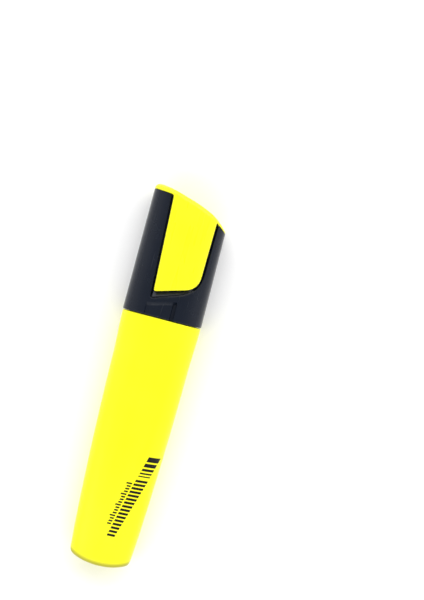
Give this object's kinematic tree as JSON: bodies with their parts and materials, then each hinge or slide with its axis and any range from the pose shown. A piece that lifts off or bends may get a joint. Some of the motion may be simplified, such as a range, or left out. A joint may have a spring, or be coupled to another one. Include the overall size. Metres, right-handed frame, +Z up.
{
  "type": "highlighter",
  "caption": "Flat oval highlighter with a tapered one-piece barrel, a chisel nib and a slanted pull-off cap with a springy pocket clip.",
  "frame": {"origin": "under the middle of the closed pen, on the surface that its flat back lies on", "axes": "+X along the pen towards the roof of the cap, +Y across the pen, +Z up through the clip"},
  "size_m": [0.1221, 0.0256, 0.0165],
  "materials": {
    "yellow_barrel": "satin moulded polypropylene, fluorescent yellow",
    "yellow_insert": "smooth moulded polypropylene, fluorescent yellow",
    "black_cap": "polished moulded polypropylene, blue-black",
    "black_section": "fine spark-eroded texture, black",
    "natural_plastic": "unpigmented polyethylene, milky",
    "clear_film": "thin clear wrapping film",
    "inked_fibre": "bonded fibre soaked with fluorescent ink",
    "nib_fibre": "bonded fibre, cut to a chisel edge"
  },
  "bodies": {
    "pen_body": {"barrel": "yellow_barrel", "reservoir_film": "clear_film", "reservoir_core": "inked_fibre", "breather_tube": "natural_plastic", "front_section": "black_section", "nib": "nib_fibre"},
    "cap": {"cap_shell": "black_cap", "inner_cap": "natural_plastic", "cap_roof": "yellow_insert"},
    "clip": {"cap_clip": "yellow_insert"}
  },
  "joints": [
    {"name": "cap_pull", "type": "slide", "parent": "pen_body", "child": "cap", "axis": [1, 0, 0], "range_m": [0, 0.05]},
    {"name": "clip_flex", "type": "hinge", "parent": "cap", "child": "clip", "pos_m": [0.0516, 0, 0.01545], "axis": [0, 1, 0], "range_deg": [0, 6], "stiffness_Nm_per_rad": 0.94}
  ]
}
